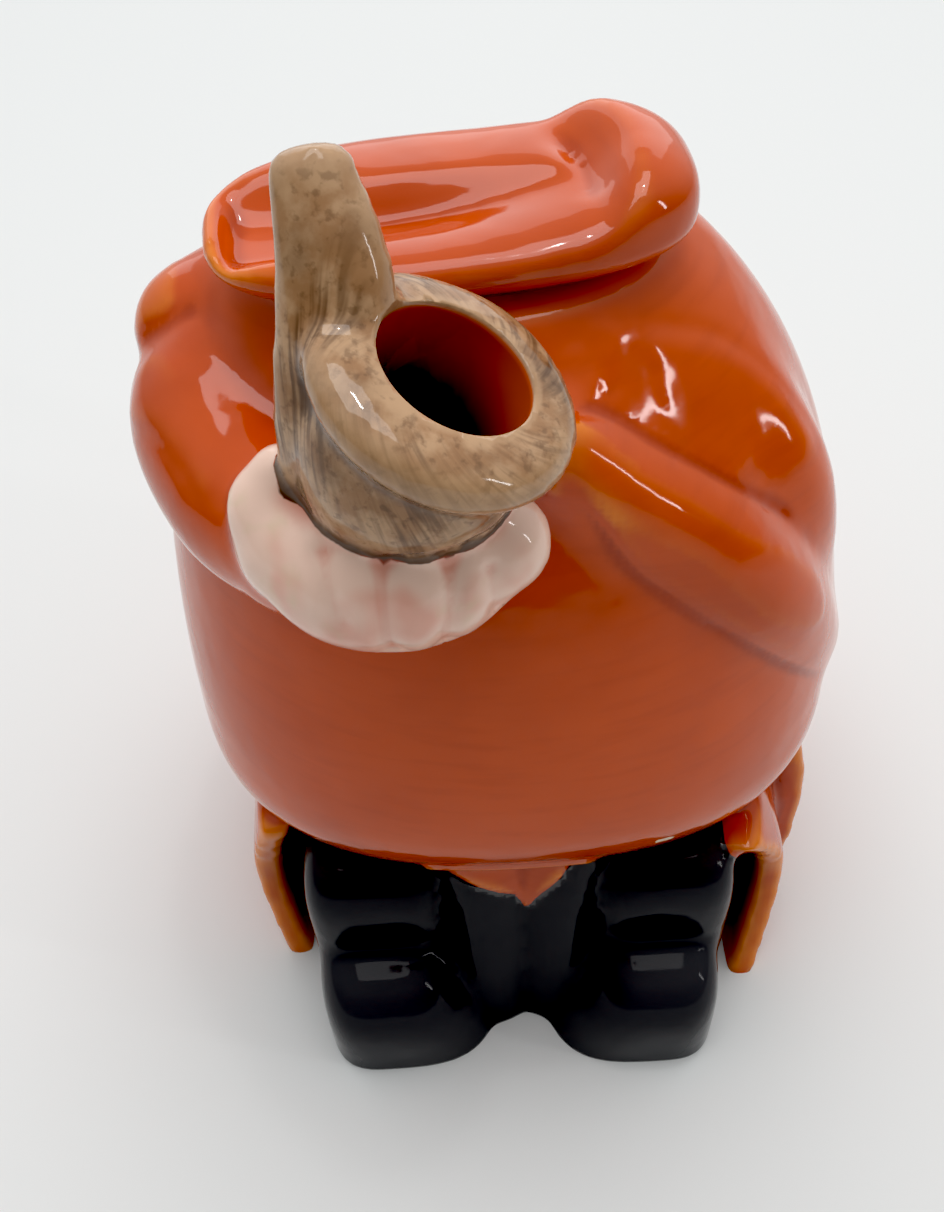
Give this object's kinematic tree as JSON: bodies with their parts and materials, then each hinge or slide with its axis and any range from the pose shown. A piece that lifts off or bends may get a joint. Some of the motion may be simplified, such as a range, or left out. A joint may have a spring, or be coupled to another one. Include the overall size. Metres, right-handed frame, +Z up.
{
  "type": "novelty teapot",
  "caption": "Glazed earthenware teapot shaped as a stout figure in a long coat, with a pipe bowl for a spout and a hat for a lid.",
  "frame": {"origin": "on the underside, below the middle of the coat's plan", "axes": "+Z up, -Y the front of the figure, +X to the right in a view of its front"},
  "size_m": [0.139, 0.1903, 0.2146],
  "materials": {
    "body_glaze": "glossy clear glaze over orange, black, pink and brown underglaze",
    "lid_glaze": "glossy orange glaze"
  },
  "bodies": {
    "root": {"teapot_body": "body_glaze", "lid": "lid_glaze"}
  },
  "joints": []
}
